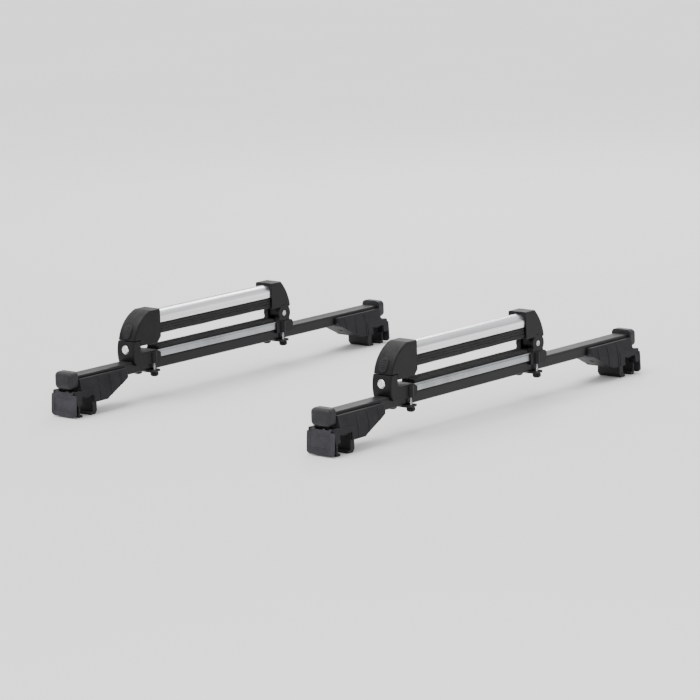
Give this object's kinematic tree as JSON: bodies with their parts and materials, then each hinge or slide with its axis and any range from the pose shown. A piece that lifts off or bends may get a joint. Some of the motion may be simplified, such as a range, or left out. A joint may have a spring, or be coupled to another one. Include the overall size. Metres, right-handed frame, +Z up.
{
  "type": "roof ski rack",
  "caption": "Two crossbars on rail-clamping feet, each carrying a ski carrier whose rubber-lined arm hinges up and shuts on a push-button latch.",
  "frame": {"origin": "middle of the rack's footprint, level with the bottoms of the clamp jaws", "axes": "+X along the bars to the latch side, +Y the direction of travel, +Z up"},
  "size_m": [1.04, 0.794, 0.195],
  "materials": {
    "bar_coating": "satin black coating",
    "cap_plastic": "moulded dark grey",
    "soft_rubber": "matt",
    "cast_jaw": "black e-coat",
    "base_alloy": "weathered mill finish",
    "black_plastic": "fine grained",
    "zinc_steel": "zinc plated",
    "black_steel": "black e-coat",
    "silver_alloy": "silver anodised, satin",
    "button_plastic": "moulded",
    "lock_chrome": "polished",
    "foot_plastic": "grained charcoal",
    "cover_plastic": "grained dark grey"
  },
  "bodies": {
    "rack": {"crossbar_front": "bar_coating", "end_caps_front": "cap_plastic", "rail_pads_front": "soft_rubber", "fixed_jaws_front": "cast_jaw", "base_rail_front": "base_alloy", "base_pad_front": "soft_rubber", "latch_base_front": "black_plastic", "hinge_base_front": "black_plastic", "hinge_pin_front": "zinc_steel", "striker_pin_front": "zinc_steel", "clamp_plates_front": "black_steel", "clamp_bolts_front": "black_steel", "foot_front_near": "foot_plastic", "foot_front_far": "foot_plastic", "crossbar_rear": "bar_coating", "end_caps_rear": "cap_plastic", "rail_pads_rear": "soft_rubber", "fixed_jaws_rear": "cast_jaw", "base_rail_rear": "base_alloy", "base_pad_rear": "soft_rubber", "latch_base_rear": "black_plastic", "hinge_base_rear": "black_plastic", "hinge_pin_rear": "zinc_steel", "striker_pin_rear": "zinc_steel", "clamp_plates_rear": "black_steel", "clamp_bolts_rear": "black_steel", "foot_rear_near": "foot_plastic", "foot_rear_far": "foot_plastic", "foot_screws": "zinc_steel", "housing_screws": "zinc_steel"},
    "arm_front": {"arm_rail_front": "silver_alloy", "arm_pad_front": "soft_rubber", "hinge_cap_front": "black_plastic", "latch_head_front": "black_plastic", "hook_pin_front": "zinc_steel", "hook_spring_front": "zinc_steel"},
    "button_front": {"latch_button_front": "button_plastic"},
    "hook_front": {"latch_hook_front": "zinc_steel"},
    "lock_front": {"lock_cylinder_front": "lock_chrome"},
    "cover_front_near": {"foot_cover_front_near": "cover_plastic"},
    "jaw_front_near": {"clamp_jaw_front_near": "cast_jaw"},
    "screw_front_near": {"clamp_screw_front_near": "zinc_steel"},
    "cover_front_far": {"foot_cover_front_far": "cover_plastic"},
    "jaw_front_far": {"clamp_jaw_front_far": "cast_jaw"},
    "screw_front_far": {"clamp_screw_front_far": "zinc_steel"},
    "arm_rear": {"arm_rail_rear": "silver_alloy", "arm_pad_rear": "soft_rubber", "hinge_cap_rear": "black_plastic", "latch_head_rear": "black_plastic", "hook_pin_rear": "zinc_steel", "hook_spring_rear": "zinc_steel"},
    "button_rear": {"latch_button_rear": "button_plastic"},
    "hook_rear": {"latch_hook_rear": "zinc_steel"},
    "lock_rear": {"lock_cylinder_rear": "lock_chrome"},
    "cover_rear_near": {"foot_cover_rear_near": "cover_plastic"},
    "jaw_rear_near": {"clamp_jaw_rear_near": "cast_jaw"},
    "screw_rear_near": {"clamp_screw_rear_near": "zinc_steel"},
    "cover_rear_far": {"foot_cover_rear_far": "cover_plastic"},
    "jaw_rear_far": {"clamp_jaw_rear_far": "cast_jaw"},
    "screw_rear_far": {"clamp_screw_rear_far": "zinc_steel"}
  },
  "joints": [
    {"name": "arm_lift_front", "type": "hinge", "parent": "rack", "child": "arm_front", "pos_m": [-0.17, 0.36, 0.122], "axis": [0, -1, 0], "range_deg": [0, 70]},
    {"name": "button_press_front", "type": "slide", "parent": "arm_front", "child": "button_front", "axis": [-1, 0, 0], "range_m": [0, 0.0035], "stiffness_N_per_m": 800, "springref_m": -0.002},
    {"name": "hook_swing_front", "type": "hinge", "parent": "arm_front", "child": "hook_front", "pos_m": [0.276, 0.36, 0.177], "axis": [0, 1, 0], "range_deg": [0, 11.1]},
    {"name": "lock_turn_front", "type": "hinge", "parent": "rack", "child": "lock_front", "pos_m": [0.32, 0.36, 0.115], "axis": [1, 0, 0], "range_deg": [0, 90]},
    {"name": "cover_swing_front_near", "type": "hinge", "parent": "rack", "child": "cover_front_near", "pos_m": [0.5105, 0.36, 0.0535], "axis": [0, -1, 0], "range_deg": [0, 80]},
    {"name": "jaw_slide_front_near", "type": "slide", "parent": "rack", "child": "jaw_front_near", "axis": [1, 0, 0], "range_m": [0, 0.006]},
    {"name": "screw_turn_front_near", "type": "hinge", "parent": "jaw_front_near", "child": "screw_front_near", "pos_m": [0.48, 0.36, 0.05], "axis": [1, 0, 0], "range_deg": [0, 2160.5]},
    {"name": "cover_swing_front_far", "type": "hinge", "parent": "rack", "child": "cover_front_far", "pos_m": [-0.5105, 0.36, 0.0535], "axis": [0, 1, 0], "range_deg": [0, 80]},
    {"name": "jaw_slide_front_far", "type": "slide", "parent": "rack", "child": "jaw_front_far", "axis": [-1, 0, 0], "range_m": [0, 0.006]},
    {"name": "screw_turn_front_far", "type": "hinge", "parent": "jaw_front_far", "child": "screw_front_far", "pos_m": [-0.48, 0.36, 0.05], "axis": [-1, 0, 0], "range_deg": [0, 2160.5]},
    {"name": "arm_lift_rear", "type": "hinge", "parent": "rack", "child": "arm_rear", "pos_m": [-0.17, -0.36, 0.122], "axis": [0, -1, 0], "range_deg": [0, 70]},
    {"name": "button_press_rear", "type": "slide", "parent": "arm_rear", "child": "button_rear", "axis": [-1, 0, 0], "range_m": [0, 0.0035], "stiffness_N_per_m": 800, "springref_m": -0.002},
    {"name": "hook_swing_rear", "type": "hinge", "parent": "arm_rear", "child": "hook_rear", "pos_m": [0.276, -0.36, 0.177], "axis": [0, 1, 0], "range_deg": [0, 11.1]},
    {"name": "lock_turn_rear", "type": "hinge", "parent": "rack", "child": "lock_rear", "pos_m": [0.32, -0.36, 0.115], "axis": [1, 0, 0], "range_deg": [0, 90]},
    {"name": "cover_swing_rear_near", "type": "hinge", "parent": "rack", "child": "cover_rear_near", "pos_m": [0.5105, -0.36, 0.0535], "axis": [0, -1, 0], "range_deg": [0, 80]},
    {"name": "jaw_slide_rear_near", "type": "slide", "parent": "rack", "child": "jaw_rear_near", "axis": [1, 0, 0], "range_m": [0, 0.006]},
    {"name": "screw_turn_rear_near", "type": "hinge", "parent": "jaw_rear_near", "child": "screw_rear_near", "pos_m": [0.48, -0.36, 0.05], "axis": [1, 0, 0], "range_deg": [0, 2160.5]},
    {"name": "cover_swing_rear_far", "type": "hinge", "parent": "rack", "child": "cover_rear_far", "pos_m": [-0.5105, -0.36, 0.0535], "axis": [0, 1, 0], "range_deg": [0, 80]},
    {"name": "jaw_slide_rear_far", "type": "slide", "parent": "rack", "child": "jaw_rear_far", "axis": [-1, 0, 0], "range_m": [0, 0.006]},
    {"name": "screw_turn_rear_far", "type": "hinge", "parent": "jaw_rear_far", "child": "screw_rear_far", "pos_m": [-0.48, -0.36, 0.05], "axis": [-1, 0, 0], "range_deg": [0, 2160.5]}
  ],
  "couplings": [
    {"joint": "hook_swing_front", "follows": "button_press_front", "rad_per_m": 54.853},
    {"joint": "screw_turn_front_near", "follows": "jaw_slide_front_near", "rad_per_m": 6283.2},
    {"joint": "screw_turn_front_far", "follows": "jaw_slide_front_far", "rad_per_m": 6283.2},
    {"joint": "hook_swing_rear", "follows": "button_press_rear", "rad_per_m": 54.853},
    {"joint": "screw_turn_rear_near", "follows": "jaw_slide_rear_near", "rad_per_m": 6283.2},
    {"joint": "screw_turn_rear_far", "follows": "jaw_slide_rear_far", "rad_per_m": 6283.2}
  ]
}
